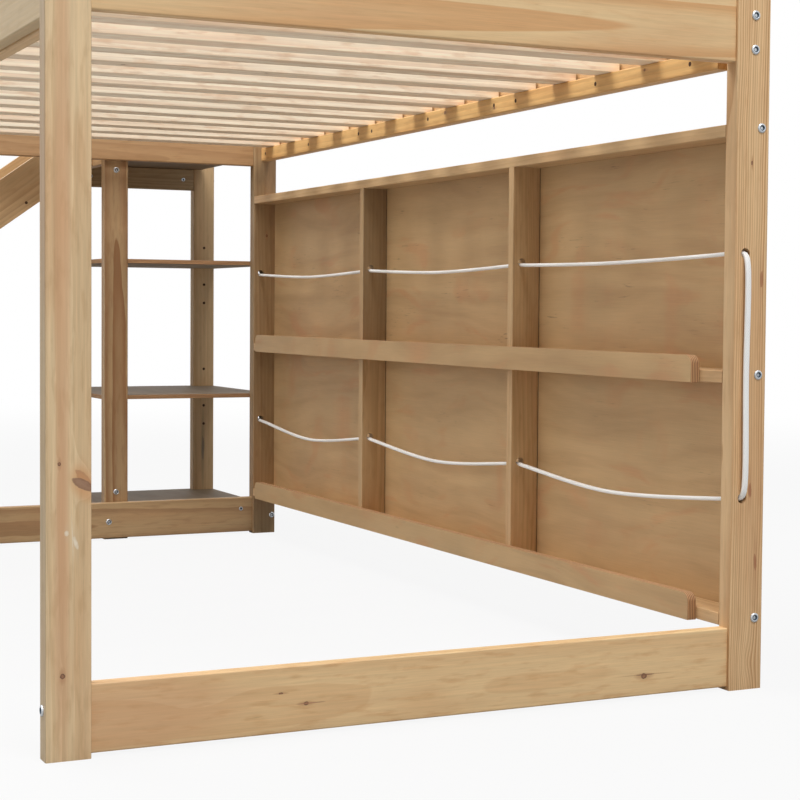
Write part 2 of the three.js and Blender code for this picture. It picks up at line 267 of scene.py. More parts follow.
def between(a, b, low, high, t):
    """The mix of a at low and b at high that belongs to t."""
    return a * ((high - t) / (high - low)) + b * ((t - low) / (high - low))


def smooth_route(points, step):
    """A centripetal Catmull-Rom curve through the points, cut into nearly equal steps."""
    ends = [2 * points[0] - points[1], *points, 2 * points[-1] - points[-2]]
    made = [points[0].copy()]
    for four in zip(ends, ends[1:], ends[2:], ends[3:]):
        marks = [0.0]
        for a, b in zip(four, four[1:]):
            marks.append(marks[-1] + (b - a).length ** 0.5)
        count = math.ceil((four[2] - four[1]).length / step * 4)
        for i in range(1, count + 1):
            t = between(marks[1], marks[2], 0, count, i)
            first = [between(four[j], four[j + 1], marks[j], marks[j + 1], t) for j in range(3)]
            second = [between(first[j], first[j + 1], marks[j], marks[j + 2], t) for j in range(2)]
            point = between(*second, marks[1], marks[2], t)
            if (point - made[-1]).length >= step:
                made.append(point)
    made[-1] = points[-1].copy()
    return made


cord_path = smooth_route([bed(CORD_GRID_X, y, z) for y, z in CORD_ROUTE], CORD_STEP)
cord_length = sum((b - a).length for a, b in zip(cord_path, cord_path[1:]))
print("cord points:", len(cord_path), "length:", round(cord_length, 3))

# %% [markdown]
# Sweeping the section. Each ring of the mesh stands square to the route, with its wide side along X.
# The mesh also gets a UV map in real sizes, one unit to a cord width along it and once round it, which
# the braid pattern needs: a pattern in plain space would smear where the cord turns a corner.

# %% Cord and knots
SECTION_SIDES = 16
SECTION_SOFTNESS = 0.75  # 1 would be an ellipse, less is squarer
KNOT_R = 7.4 * MM
KNOT_CORD = 5.2 * MM


def flat_section(wide, thick):
    """Points round a soft-cornered oblong, as pairs of across and up."""
    corners = []
    for i in range(SECTION_SIDES):
        angle = 2 * math.pi * i / SECTION_SIDES
        pair = []
        for part, size in ((math.cos(angle), wide), (math.sin(angle), thick)):
            pair.append(math.copysign(abs(part) ** SECTION_SOFTNESS, part) * size / 2)
        corners.append(tuple(pair))
    return corners


def sweep(name, path, section, side_of, closed=False):
    """A tube of that section along a path. side_of says which way its wide side lies at each step."""
    mesh = bmesh.new()
    uv = mesh.loops.layers.uv.new("UVMap")
    rings, travelled = [], [0.0]
    count = len(path)
    for i, point in enumerate(path):
        ahead = path[(i + 1) % count] if closed else path[min(i + 1, count - 1)]
        behind = path[i - 1] if closed or i else path[0]
        along = (ahead - behind).normalized()
        side = side_of(along)
        lift = along.cross(side).normalized()
        rings.append([mesh.verts.new(point + side * a + lift * b) for a, b in section])
        if i:
            travelled.append(travelled[-1] + (point - path[i - 1]).length)
    spans = list(zip(rings, rings[1:], travelled, travelled[1:]))
    if closed:
        last = travelled[-1] + (path[0] - path[-1]).length
        spans.append((rings[-1], rings[0], travelled[-1], last))
    sides = len(section)
    for first, second, start, end in spans:
        for j in range(sides):
            k = (j + 1) % sides
            face = mesh.faces.new((first[j], first[k], second[k], second[j]))
            face.smooth = True
            corners = ((start, j), (start, j + 1), (end, j + 1), (end, j))
            for loop, (u, v) in zip(face.loops, corners):
                loop[uv].uv = (u / CORD_WIDE, v / sides)
    if not closed:
        mesh.faces.new(reversed(rings[0]))
        mesh.faces.new(rings[-1])
    return finish_mesh(name, mesh)


def finish_mesh(name, mesh, materials=()):
    """Turns a bmesh into an object with those materials, and links it."""
    bmesh.ops.recalc_face_normals(mesh, faces=mesh.faces)
    data = bpy.data.meshes.new(name)
    mesh.to_mesh(data)
    mesh.free()
    for material in materials:
        data.materials.append(material)
    piece = bpy.data.objects.new(name, data)
    bpy.context.collection.objects.link(piece)
    return piece


def knot_path(centre, radius, steps=72):
    """An overhand knot's loop, drawn up tight against the post."""
    points = []
    for i in range(steps):
        t = 2 * math.pi * i / steps
        round_x = (math.sin(t) + 2 * math.sin(2 * t)) / 3
        round_z = (math.cos(t) - 2 * math.cos(2 * t)) / 3
        points.append(centre + Vector((round_x, -math.sin(3 * t) * 0.36, round_z)) * radius)
    return points


def across(along):
    """The wide side of the flat cord always lies across the bed."""
    return Vector((1, 0, 0))


def any_side(along):
    """A round cord has no wide side, so any direction square to it will do."""
    return along.orthogonal().normalized()


cord = sweep("toy_cord", cord_path, flat_section(CORD_WIDE, CORD_THICK), across)
round_section = flat_section(KNOT_CORD, KNOT_CORD)
cord_knots = [
    sweep(name, knot_path(end, KNOT_R), round_section, any_side, closed=True)
    for name, end in (("cord_knot_upper", cord_path[0]), ("cord_knot_lower", cord_path[-1]))
]
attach(cord, BODY)
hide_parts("cord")
for knot in cord_knots:
    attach(knot, BODY)
tuple(cord_path[0])
[tuple(p) for p in cord_path]
print("cord faces:", len(cord.data.polygons))

# %% [markdown]
# Braid. Sixteen strands cross over and under in two spirals, so the surface is a diamond grid. Two
# waves that run opposite ways along the UV map, and the higher of the two, give that grid. A bump
# makes the strands stand a few hundredths of a millimetre proud of the cord, and painted shade makes
# the hollows between them a touch greyer.

# %% Cord finish
STRANDS_ROUND = 8


def braid():
    """The cord's white woven finish."""
    f = Finish("white_braid")
    place = f.node("ShaderNodeTexCoord", output="UV")
    u = f.node("ShaderNodeSeparateXYZ", None, {0: place})
    v = u.out(1)
    turn = STRANDS_ROUND * 2 * math.pi
    climbing = (u * (turn / 4) + v * turn).math("SINE")
    falling = (u * (turn / 4) - v * turn).math("SINE")
    strands = climbing.math("MAXIMUM", falling)
    fibre = f.cloud(u * 40, v * 160, 0.0, detail=3)
    # Painted shade: the hollows between the strands are a touch greyer than their crests.
    colour = f.blend(strands.rise(-0.2, 0.8), paint(244, 243, 240), paint(255, 255, 253))
    height = strands * 0.5 + fibre * 0.3
    bump = f.node("ShaderNodeBump", None, {"Strength": 0.4, "Distance": 0.2 * MM, "Height": height})
    f.fill(f.shader, {"Base Color": colour, "Roughness": 0.8, "Normal": bump})
    return f.material


cord_white = braid()
for piece in (cord, *cord_knots):
    piece.data.materials.append(cord_white)
print("cord finish:", cord_white.name)

# %% [markdown]
# Where a board lies. Wood has a direction, so its pattern is worked out in the board's own terms:
# along the grain, across the face and through the thickness. A board's box gives all three, since the
# grain runs along the longest side. The slide's boards slope, so their space is turned first.

# %% Board space
SLIDE_SLOPE = math.atan(0.718)
SLOPING = {"slide_side_near": (0, 2, 1), "slide_side_far": (0, 2, 1), "slide_bed": (0, 1, 2)}


class Grain:
    """Sockets along, across and through one board, in metres from its middle."""

    def __init__(self, finish, node, seed):
        low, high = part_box(node)
        size = high - low
        self.finish = finish
        self.seed = seed
        self.slope = SLIDE_SLOPE if node in SLOPING else 0.0
        self.order = SLOPING.get(node) or sorted(range(3), key=lambda i: -size[i])
        self.length, self.width = (size[i] for i in self.order[:2])
        place = finish.node("ShaderNodeTexCoord", output="Object")
        centre = (low + high) / 2
        place = finish.node("ShaderNodeVectorMath", {"operation": "SUBTRACT"}, {0: place, 1: centre})
        normal = finish.node("ShaderNodeTexCoord", output="Normal")
        self.along, self.across, self.through = self.turned(place)
        self.facing = self.turned(normal)

    def turned(self, vector):
        """The three parts of a vector, in the board's own order."""
        if self.slope:
            settings = {"rotation_type": "Y_AXIS"}
            inputs = {"Vector": vector, "Angle": self.slope}
            vector = self.finish.node("ShaderNodeVectorRotate", settings, inputs)
        x = self.finish.node("ShaderNodeSeparateXYZ", None, {0: vector})
        return [x.out(i) for i in self.order]

    def noise(self, long, wide, detail=2.0, bend=0.0):
        """Noise whose patches are about that long and wide, in millimetres."""
        along = self.along * (1000 / long) + self.seed
        across = self.across * (1000 / wide) + bend
        return self.finish.cloud(along, across, self.through * (1000 / wide), detail)


print("boards that slope:", ", ".join(SLOPING))

# %% [markdown]
# Knots and other marks. A knot is where a branch left the trunk: a dark rim, a lighter middle, a
# reddish shadow drawn out along the grain, and rings that swerve round it. A resin mark, a stain or
# a scratch is the same thing in other colours, a blush is a shadow alone, and a whirl only turns the
# rings aside. Each is given by its place from the board's low end and low side, its two half sizes,
# all in millimetres, and how far it leans.

# %% Marks
Mark = namedtuple("Mark", "along across long wide lean kind")
# Three colours, then how solid the mark is, how strong its shadow is, and how far it pushes the rings.
Kind = namedtuple("Kind", "middle rim glow strength spread push")
KINDS = {
    "knot": Kind(paint(142, 98, 70), paint(84, 48, 34), paint(176, 124, 86), 0.85, 0.5, 1.6),
    "spike": Kind(paint(150, 116, 94), paint(136, 102, 80), paint(208, 150, 98), 0.85, 0.6, 0.4),
    "flare": Kind(paint(168, 118, 88), paint(156, 112, 86), paint(210, 156, 108), 0.7, 0.3, 0.3),
    "resin": Kind(paint(158, 100, 66), paint(166, 110, 74), paint(186, 132, 92), 0.75, 0.3, 0.3),
    "scratch": Kind(paint(246, 234, 214), paint(232, 216, 190), paint(214, 190, 158), 0.7, 0.2, 0.0),
    "stain": Kind(paint(104, 98, 86), paint(128, 112, 92), paint(132, 110, 84), 0.7, 0.5, 0.0),
    "blush": Kind(None, None, paint(206, 152, 112), 0.0, 0.45, 0.0),
    "whirl": Kind(None, None, None, 0.0, 0.0, 0.7),
}
WING = 0.05  # how slowly a mark's shadow fades along the grain


class Placed:
    """One mark in a board's material."""

    def __init__(self, grain, mark):
        along = (grain.along - (mark.along * MM - grain.length / 2)) / (mark.long * MM)
        across = (grain.across - (mark.across * MM - grain.width / 2)) / (mark.wide * MM)
        along = along + across * mark.lean
        edge = grain.noise(mark.long * 0.8, mark.wide * 0.8, detail=3) * 1.6
        self.mark = mark
        self.kind = KINDS[mark.kind]
        self.far = along * along + across * across + edge
        self.shadow = along * along * WING + across * across * 0.4

    def push(self):
        """How far it turns the rings aside."""
        return self.kind.push * self.mark.wide * MM / (1 + self.shadow) ** 2

    def over(self, finish, colour):
        """The colour with the mark in it."""
        if self.kind.spread:
            colour = finish.blend(self.shadow.rise(1.0, 0.0) * self.kind.spread, colour, self.kind.glow)
        if self.kind.strength:
            rim = finish.blend(self.far.rise(0.1, 0.7), self.kind.middle, self.kind.rim)
            colour = finish.blend(self.far.rise(1.25, 0.8) * self.kind.strength, colour, rim)
        return colour


print("kinds of mark:", ", ".join(KINDS))

# %% [markdown]
# Pine. A board is a slice out of a log, so its pattern is not painted on: it is where growth rings
# cut the surface. The distance from the tree's heart, which runs past the board at a slight lean,
# counts the rings, and the lean is what makes the long pointed tongues on a flat-sawn face. Straight
# lines come from a heart far to one side. Over the rings lies noise of several sizes, all stretched
# along the grain: slow patches of cream and rose, a figure as wide as a finger, fibres, and the short
# dark dashes of resin canals.

# %% Pine
HONEY = paint(216, 182, 136)
AMBER = paint(184, 144, 98)
ROSE = paint(206, 158, 112)
SLOW_BEND = 24 * MM
RIPPLE = 5 * MM
LATE_WOOD = [(0, 0.0), (0.35, 0.2), (0.75, 0.9), (0.97, 1.0), (1, 0.0)]
END_DARKER = 0.22  # end grain drinks more lacquer


def pine(node, light=HONEY, dark=AMBER, warm=ROSE, heart=(0, -60), lean=(0, 0.012), ring=9, wander=1.0,
         ripple=1.0, uneven=0.7, depth=0.5, figure=0.3, streaks=0.25, edge=1.0, marks=(), seed=0.0,
         tone_and_shade=1.0, gloss=0.45):
    """A board's material.

    heart is the tree's heart, across and through the board from its middle, and ring is one year's
    growth, all in millimetres. lean is how far the heart moves aside for each unit along. uneven
    makes some years stronger than others. tone scales the whole board: its own colour of wood, and
    where it is set board by board also painted shade, or painted light above one. edge scales the
    narrow sides alone: painted shade below one and painted light above one.
    """
    f = Finish(f"{node}_pine")
    g = Grain(f, node, seed)
    placed = [Placed(g, Mark(*mark)) for mark in marks]
    bend = f.cloud(g.along * 1.4 + seed, seed, 0.0, detail=1) * wander
    side = g.across - heart[0] * MM + g.along * lean[0] + bend * SLOW_BEND
    below = g.through - heart[1] * MM + g.along * lean[1] + bend * (SLOW_BEND / 2)
    radius = (side * side + below * below) ** 0.5 + g.noise(150, 40) * (ripple * RIPPLE)
    for mark in placed:
        radius = radius + mark.push()
    age = radius / (ring * MM) + f.cloud(radius * (450 / ring) + seed, seed, 0.0, detail=1) * 1.8 * wander
    late = f.node("ShaderNodeValToRGB", {"stops": LATE_WOOD}, {0: age.math("FRACT")})
    change = f.node("ShaderNodeTexWhiteNoise", {"noise_dimensions": "1D"}, {"W": age.math("FLOOR") + seed})
    late = f.node("ShaderNodeRGBToBW", None, {0: late}) * (change * uneven + (1 - uneven))
    patch = g.noise(320, 60, bend=seed)
    swirl = g.noise(45, 9, detail=3, bend=patch * 3)
    streak = g.noise(260, 5, detail=3)
    fibre = g.noise(40, 1.6)
    pore = g.noise(18, 1.5).rise(0.16, 0.28) * swirl.rise(-0.1, 0.15)
    colour = f.blend(late * depth, light, dark)
    colour = f.blend(patch.rise(-0.05, 0.25) * 0.5, colour, warm)
    colour = f.blend(swirl.rise(0.0, 0.22) * figure, colour, dark)
    level = (1 + streak * streaks + fibre * 0.22 - pore * 0.16) * tone_and_shade
    level = level * (1 - abs(g.facing[0]).rise(0.6, 0.9) * END_DARKER)
    level = level * (1 - abs(g.facing[1]).rise(0.6, 0.9) * (1 - edge))
    colour = f.scaled(colour, level)
    for mark in placed:
        colour = mark.over(f, colour)
    height = fibre * 0.5 + streak * 0.3 - late * 0.25 - pore * 0.2
    bump = f.node("ShaderNodeBump", None, {"Strength": 0.35, "Distance": 0.3 * MM, "Height": height})
    rough = gloss + late * 0.08 + fibre * 0.12
    f.fill(f.shader, {"Base Color": colour, "Roughness": rough, "Normal": bump})
    return f.material


print("pine ready, stops of one year's ring:", len(LATE_WOOD))

# %% [markdown]
# Plywood. Its face is a veneer peeled off the log in one turn, so the rings are stretched into broad
# clouds and the fibres show as short dark dashes. Its edges show the layers, every second one across
# the grain. The surface's own direction tells an edge from a face, so one material does both. On the
# bookcase's backs a thin line of painted shade darkens the corner where a divider stands, on the inner
# side only.

# %% Plywood
VENEER = paint(204, 170, 124)
VENEER_DARK = paint(178, 140, 98)
VENEER_ROSE = paint(200, 152, 108)
EDGE_LIGHT = paint(210, 170, 126)
EDGE_DARK = paint(140, 96, 64)
LAYER = 1.5 * MM
JOINT_SHADOW = 2.5 * MM  # the painted shade in the corner where another board stands on the face


def plywood(node, light=VENEER, dark=VENEER_DARK, warm=VENEER_ROSE, seed=0.0, tone_and_shade=1.0, dashes=0.5,
            gloss=0.48, joint_shadows=()):
    """A sheet's material. seams are where its lines of painted shade lie, in millimetres from its low end.
    """
    f = Finish(f"{node}_plywood")
    g = Grain(f, node, seed)
    drift = g.noise(620, 200)
    figure = g.noise(400, 34, detail=3, bend=drift * 5)
    patch = g.noise(210, 130, detail=3)
    blush = g.noise(150, 60, detail=3, bend=drift * 9 + 3)
    fibre = g.noise(60, 1.8)
    dash = g.noise(30, 2.4, detail=3).rise(0.1, 0.24) * g.noise(130, 70, bend=7).rise(0.04, 0.16) * dashes
    colour = f.blend(figure.rise(-0.15, 0.3) * 0.6, light, dark)
    colour = f.blend(blush.rise(0.02, 0.2) * 0.75, colour, warm)
    level = (1 + fibre * 0.2 + patch * 0.4 - dash * 0.5) * tone_and_shade
    inside = g.facing[2].rise(-0.3, -0.7)
    # Painted shade: a thin dark line on the inner face where a divider meets the back.
    for joint_shadow in joint_shadows:
        level = level * (1 - abs(g.along - (joint_shadow * MM - g.length / 2)).rise(JOINT_SHADOW, 0.0) * inside * 0.7)
    colour = f.scaled(colour, level)
    layers = (g.through / LAYER).math("PINGPONG", 1.0)
    cut = f.scaled(f.blend(layers.rise(0.35, 0.65), EDGE_LIGHT, EDGE_DARK), tone_and_shade)
    edge = abs(g.facing[2]).rise(0.75, 0.45)
    bump = f.node("ShaderNodeBump", None, {"Strength": 0.3, "Distance": 0.25 * MM, "Height": fibre - dash})
    rough = gloss + fibre * 0.12 + edge * 0.15
    f.fill(f.shader, {"Base Color": f.blend(edge, colour, cut), "Roughness": rough, "Normal": bump})
    return f.material


print("plywood ready, layers", LAYER / MM, "mm thick")

# %% [markdown]
# Which board gets what. Boards that the picture shows closely have their own figure: where the heart
# of the tree lay, how it leans and where the marks are. All others get a seeded draw, so no two slats
# are alike and yet each run gives the same bed. Boards from one yard still differ in tone, so each
# board can have a tone of its own. The low tones of the rear and tower boards and of the dividers are
# partly deeper wood and partly painted shade, where they sit away from the light.

# %% Finishes
SLAT = dict(light=paint(255, 243, 220), dark=paint(216, 176, 140), warm=paint(242, 204, 170), figure=0.45)
# The tower's shelves are a greyer plywood, that grey partly their own and partly painted shade.
SHADED_GREY_SHELF = dict(
    light=paint(150, 128, 100), dark=paint(124, 104, 80), warm=paint(142, 114, 84), gloss=0.62)
# The deck is darkened all over, as painted shade, to the look of its shaded underside.
SHADED_DECK = dict(light=paint(136, 110, 80), dark=paint(106, 82, 56), warm=paint(122, 92, 64), gloss=0.62)
LEDGER = dict(light=paint(228, 184, 120), dark=paint(184, 130, 74), warm=paint(216, 150, 86))
OLIVE = dict(light=paint(194, 170, 130), dark=paint(172, 144, 102), warm=paint(186, 156, 114), depth=0.25)
# Each tone set below is partly the wood's own colour and partly painted shade, lowest on the boards that
# sit deep under the bed, in the tower and inside the bookcase.
SPECIAL = {
    # On the two front posts an edge below one is painted shade on their narrow sides.
    "post_front_left": dict(
        light=paint(228, 200, 158), heart=(20, -80), lean=(0.03, 0.01), ring=11,
        depth=0.35, streaks=0.4, edge=0.64, marks=[
            (640, 21, 130, 8, 0, "blush"), (200, 20, 60, 8, 0, "blush"),
            (104, 21, 3.2, 3, 0, "knot"), (361, 17, 2.4, 2, 0, "knot"),
            (343, 47, 7, 10, 1.2, "flare"), (336, 46, 6, 13, 0.9, "spike"),
            (277, 26, 3.4, 2.6, 0, "scratch"), (265, 37, 6, 3.4, 0.9, "scratch"),
            (272, 33, 8, 1.1, 3, "scratch")]),
    "post_front_right": dict(
        light=paint(238, 202, 154), dark=paint(180, 126, 74), heart=(-260, 30), lean=(0.004, 0),
        ring=4.1, depth=0.9, uneven=0.5, figure=0.15, edge=0.92, marks=[
            (186, 43, 11, 3, 0.3, "resin"), (291, 32, 10.5, 3, 0, "resin"), (597, 47, 11.5, 3, 0, "resin"),
            (764, 27, 3, 1.5, 0, "knot"), (40, 30, 9, 12, 0, "whirl")]),
    "front_end_beam": dict(
        light=paint(230, 198, 150), dark=paint(208, 154, 100), heart=(-35.4, 46.5), lean=(-0.0281, -0.0115),
        ring=12, wander=0.0, ripple=0.1, uneven=0.3, depth=0.8, figure=0.2),
    "front_lower_rail": dict(
        light=paint(234, 200, 150), dark=paint(208, 158, 106), heart=(-8, 56.4), lean=(0, -0.0085), ring=14,
        wander=0.2, ripple=0.9, uneven=0.3, depth=0.32, figure=0.5, marks=[
            (40, 43, 45, 40, 0, "blush"), (455, 30, 18, 22, 0, "whirl"), (137, 60, 12, 16, 0, "whirl"),
            (800.6, 28, 4.5, 4, 0, "knot"), (803, 30, 14, 0.7, 0, "knot"), (249, 52, 3, 1.2, 0, "knot"),
            (284, 36, 3.4, 2.4, 0, "knot"), (290, 36, 20, 0.7, 0, "flare")]),
    "ledger_right": dict(**LEDGER, ring=8, depth=0.6, streaks=0.4),
    "side_rail_left": OLIVE,
    "post_rear_right": dict(tone_and_shade=0.59, dark=paint(170, 122, 76)),
    "tower_post_near_left": dict(
        tone_and_shade=0.72, dark=paint(164, 110, 66), heart=(4, -50), lean=(0.02, 0.012), ring=13,
        uneven=0.3, depth=0.8),
    "tower_post_far_right": dict(tone_and_shade=1.04, marks=[(174, 27, 30, 4, 0, "stain")]),
    "tower_far_rail": dict(tone_and_shade=0.76, dark=paint(160, 116, 72), marks=[]),
    "rear_end_beam": dict(tone_and_shade=0.73, light=paint(214, 172, 124), dark=paint(176, 130, 84)),
    "slide_side_near": dict(tone_and_shade=0.87),
    "slide_side_far": dict(tone_and_shade=0.87),
    "rear_lower_rail": dict(tone_and_shade=0.84, dark=paint(168, 124, 82), depth=0.8, marks=[]),
    # On the upper dividers an edge above one is painted light on their narrow front edges.
    "divider_upper_1": dict(tone_and_shade=0.8, edge=1.15, marks=[]),
    "divider_upper_2": dict(tone_and_shade=0.47, edge=1.7, marks=[]),
    "bookcase_top": dict(tone_and_shade=0.92, marks=[]),
    "bookcase_middle": dict(tone_and_shade=0.92, marks=[]),
    "divider_lower_1": dict(tone_and_shade=0.95, marks=[]),
    "divider_lower_2": dict(tone_and_shade=0.85, marks=[]),
}
DIVIDERS = [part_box(node)[0].y / MM for node in ("divider_upper_1", "divider_upper_2")]
BACK_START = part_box("bookcase_back_upper")[0].y / MM
BACK = dict(joint_shadows=[y - BACK_START for y in DIVIDERS], dashes=1.0, tone_and_shade=0.95)
# As on the boards, each tone set below is partly the sheet's own colour and partly painted shade, the
# bookcase's backs one row at a time.
PLYWOOD = {
    "bookcase_back_upper": BACK,
    "bookcase_back_lower": dict(BACK, dashes=0.4, tone_and_shade=1.03),
    "fence_upper": dict(tone_and_shade=0.95),
    "fence_lower": dict(tone_and_shade=0.97),
    "tower_shelf_1": SHADED_GREY_SHELF,
    "tower_shelf_2": dict(SHADED_GREY_SHELF, tone_and_shade=0.88),
    "tower_shelf_3": dict(SHADED_GREY_SHELF, tone_and_shade=1.05),
    "tower_deck": SHADED_DECK,
    "slide_bed": dict(tone_and_shade=0.9),
}
KNOT_CHANCE = 0.0016  # knots to a millimetre of board
FIRST_DRAW = 21
SEED_STEP = 7.3  # keeps each board's noise away from the next one's


def dress(node, material):
    """Puts one material on every slot of a board."""
    for place in NODES[node].material_slots:
        place.material = material


def random_cut(rng, node):
    """A board from anywhere in a log, with a small knot here and there."""
    low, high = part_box(node)
    thick, wide, long = sorted(v / MM for v in high - low)
    knots = []
    for _ in range(min(3, round(long * KNOT_CHANCE * rng.uniform(0, 2)))):
        size = rng.uniform(1.6, 4.0)
        spot = (rng.uniform(0.05, 0.95) * long, rng.uniform(0.15, 0.85) * wide)
        knots.append((*spot, size * rng.uniform(1.0, 1.6), size, 0, "knot"))
    return dict(
        heart=(rng.uniform(-90, 90), rng.choice((-1, 1)) * rng.uniform(25, 120)),
        lean=(rng.uniform(-0.015, 0.015), rng.uniform(-0.02, 0.02)),
        ring=rng.uniform(5, 11),
        depth=rng.uniform(0.4, 0.65),
        tone_and_shade=rng.uniform(0.96, 1.04),
        marks=knots,
    )


def dress_all():
    """Gives every board its wood. The cord has its own."""
    rng = random.Random(FIRST_DRAW)
    for number, node in enumerate(sorted(NODES)):
        seed = number * SEED_STEP
        cut = random_cut(rng, node)
        if node in PLYWOOD:
            dress(node, plywood(node, seed=seed, **PLYWOOD[node]))
        elif node.startswith("slat"):
            dress(node, pine(node, seed=seed, gloss=0.6, streaks=0.35, **SLAT, **cut))
        elif node != "cord":
            dress(node, pine(node, seed=seed, **{**cut, **SPECIAL.get(node, {})}))


dress_all()
print("materials made:", len(bpy.data.materials))

# %% [markdown]
# Soft edges. A planed board never has a knife edge: its corners catch a line of light. The long edges
# are already rounded in the solids, and a small bevel does the same for the sawn ends. The solids come
# in with every facet flat and unjoined, so they are welded first, and a small node tree then says
# which edges stay sharp. Modifiers leave the solid below untouched.

# %% Soften the edges
BEVEL = 0.9 * MM
SHARP_ABOVE = math.radians(50)


def shading_tree():
    """Smooth shading across shallow edges only, and none of the stored facet directions."""
    tree = bpy.data.node_groups.new("soft_shading", "GeometryNodeTree")
    for way in ("INPUT", "OUTPUT"):
        tree.interface.new_socket("Geometry", in_out=way, socket_type="NodeSocketGeometry")
    w = Wiring(tree)
    steep = w.node("GeometryNodeInputMeshEdgeAngle").math("GREATER_THAN", SHARP_ABOVE)
    inputs = {"Mesh": w.node("NodeGroupInput"), "Remove Custom": True, "Edge Sharpness": steep}
    shaded = w.node("GeometryNodeSetMeshNormal", {"mode": "SHARPNESS"}, inputs)
    w.node("NodeGroupOutput", None, {0: shaded})
    return tree


def soften(board, tree):
    weld = board.modifiers.new("weld", "WELD")
    weld.merge_threshold = 0.01 * MM
    bevel = board.modifiers.new("ends", "BEVEL")
    bevel.width = BEVEL
    bevel.segments = 2
    bevel.limit_method = "ANGLE"
    bevel.angle_limit = SHARP_ABOVE
    shade = board.modifiers.new("shade", "NODES")
    shade.node_group = tree
    even = board.modifiers.new("even", "WEIGHTED_NORMAL")
    even.keep_sharp = True


soft_shading = shading_tree()
for name, board in NODES.items():
    if name != "cord":
        soften(board, soft_shading)
print("edges softened on", len(NODES) - 1, "boards")

# %% [markdown]
# Bolts, nuts, screw holes and peg holes. The bed goes together with flat-headed bolts that have a hexagon
# socket, and each meets a barrel nut inside its board. All of these are turned parts, so they are made
# as one: a list of radii and heights spun round an axis, where a row can be a hexagon instead of a circle.
# All the pieces of one kind on one post are one object, as they come in one bag.

# %% Turned pieces
Row = namedtuple("Row", "radius height hexagon surface")
# The zinc is the metal's own colour. The dark rows in a bolt's socket and in a nut's middle are painted
# shade, the dark that a deep recess would hold.
BRIGHT, RECESS_SHADE, HOLE_SHADE = 0, 1, 2
SEGMENTS = 24
BOLT = [
    Row(7.0, 0.05, False, BRIGHT), Row(7.0, 1.0, False, BRIGHT), Row(6.5, 1.7, False, BRIGHT),
    Row(5.4, 2.1, False, BRIGHT), Row(4.0, 2.2, False, RECESS_SHADE), Row(3.5, 1.5, False, RECESS_SHADE),
    Row(2.4, 1.3, True, RECESS_SHADE), Row(2.2, 0.4, True, BRIGHT),
]
NUT = [
    Row(5.0, 0.05, False, BRIGHT), Row(5.0, 0.5, False, BRIGHT), Row(4.4, 0.8, False, BRIGHT),
    Row(2.6, 0.8, False, RECESS_SHADE), Row(2.2, 0.3, False, RECESS_SHADE),
]
# A hole is a thin disc on the face, and its dark colour is painted shade for the inside of a hole that the
# solids don't cut.
PEG_HOLE = [Row(3.6, 0.05, False, HOLE_SHADE), Row(2.9, 0.25, False, HOLE_SHADE), Row(2.5, 0.1, False, HOLE_SHADE)]


def hexagon(angle):
    """The radius of a hexagon with a flat half-width of one, at that angle."""
    return 1 / math.cos((angle % (math.pi / 3)) - math.pi / 6)


def add_turned(mesh, place, out, profile):
    """Adds one turned piece at place, with its axis along out."""
    turn = out.to_track_quat("Z", "Y").to_matrix()
    rows = []
    for row in profile:
        spots = []
        for i in range(SEGMENTS):
            angle = 2 * math.pi * i / SEGMENTS
            reach = row.radius * (hexagon(angle) if row.hexagon else 1)
            spot = Vector((math.cos(angle) * reach, math.sin(angle) * reach, row.height)) * MM
            spots.append(mesh.verts.new(place + turn @ spot))
        rows.append(spots)
    for level, (low, high) in enumerate(zip(rows, rows[1:])):
        for i in range(SEGMENTS):
            k = (i + 1) % SEGMENTS
            face = mesh.faces.new((low[i], low[k], high[k], high[i]))
            face.smooth = profile[level].surface == BRIGHT
            face.material_index = profile[level].surface
    mesh.faces.new(rows[-1]).material_index = profile[-1].surface


def speckled(name, dark, light, metallic, roughness):
    """A finish that varies slightly from spot to spot."""
    f = Finish(name)
    place = f.node("ShaderNodeTexCoord", output="Object")
    x = f.node("ShaderNodeSeparateXYZ", None, {0: place})
    spots = f.cloud(x * 900, x.out(1) * 900, x.out(2) * 900)
    colour = f.blend(spots + 0.5, paint(*dark), paint(*light))
    f.fill(f.shader, {"Base Color": colour, "Metallic": metallic, "Roughness": roughness + spots * 0.14})
    return f.material


SURFACES = (
    speckled("zinc", (182, 188, 194), (222, 226, 230), 1.0, 0.3),
    # painted shade in the sockets and the nuts' hollows
    speckled("socket_shade", (46, 58, 70), (84, 98, 110), 1.0, 0.35),
    # painted shade inside the holes
    speckled("hole_shade", (52, 32, 20), (92, 62, 40), 0.0, 0.95),
)
print("rows of a bolt:", len(BOLT), "of a nut:", len(NUT), "of a hole:", len(PEG_HOLE))

# %% [markdown]
# Where they go. Most places follow from the boards that they join, so they are worked out from the
# boards' boxes: a bolt through a post meets the middle of a board's end, and a pair holds a wide one.
# Only the holes and the two lowest bolts are given by their own places on the bed's grid.

# %% Bolts, nuts, screw holes and peg holes in place
PAIR = 24.5 * MM  # above and below the middle of a side rail's end
SHELF_BOLT_UP = 3.5 * MM  # above the middle of a bookcase board
SHELF_BOLT_IN = 14 * MM  # from the post's outer side
LOW_BOLT_Z = 61 * MM
BEAM_PAIR = 35 * MM  # above and below the middle of an end beam
NUT_IN = 29 * MM  # from a board's end to its barrel nut
TOWER_BOLTS = (111.5, 871.5)
FOOT_BOLTS = ((584, 1957, 43.4), (991.5, 1951, 43.2))
SLIDE_HOLE = (419, 2080, 794)
PEG_STARTS = (240, 562)
PEG_PITCH = 48.7
PEGS = 4
LEDGER_HOLES = (120, 387, 653, 733, 1002, 1265, 1332, 1609, 1877)
LEDGER_HOLE_Z = 918


def place_turned(name, profile, spots, out):
    """One object with a turned piece at each spot."""
    mesh = bmesh.new()
    for spot in spots:
        add_turned(mesh, Vector(spot), Vector(out), profile)
    piece = finish_mesh(name, mesh, SURFACES)
    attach(piece, BODY)
    return piece


